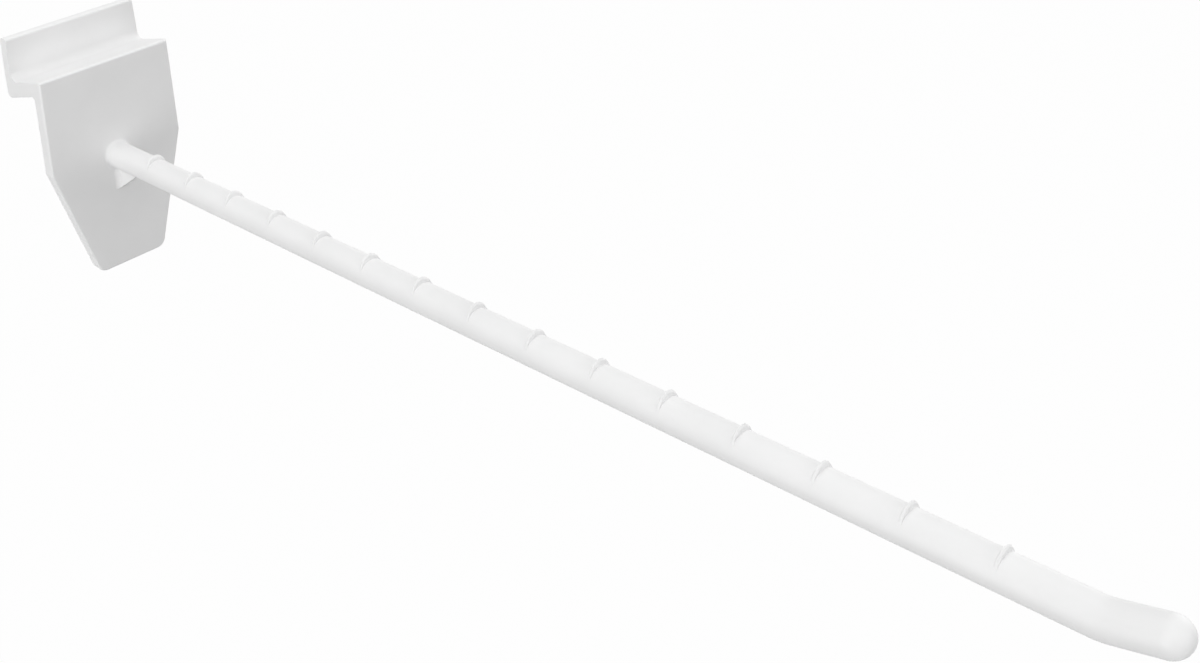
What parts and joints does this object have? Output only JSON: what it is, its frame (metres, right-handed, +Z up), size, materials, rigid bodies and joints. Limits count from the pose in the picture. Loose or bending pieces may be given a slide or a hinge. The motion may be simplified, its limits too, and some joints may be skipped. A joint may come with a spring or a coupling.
{
  "type": "slatwall hook",
  "caption": "One-piece moulded display hook: a face plate with a ledge and tongue for a slatted wall, and a long ridged peg with an upturned round tip.",
  "frame": {"origin": "on the back of the face plate, midway across it, straight behind the root of the peg", "axes": "+Y into the wall, square to the back of the plate; +Z up; +X to the right as seen by someone facing the wall; the peg points along -Y and rises slightly"},
  "size_m": [0.035, 0.2659, 0.0612],
  "materials": {
    "white_plastic": "satin moulded surface"
  },
  "bodies": {
    "root": {"slatwall_hook": "white_plastic"}
  },
  "joints": []
}
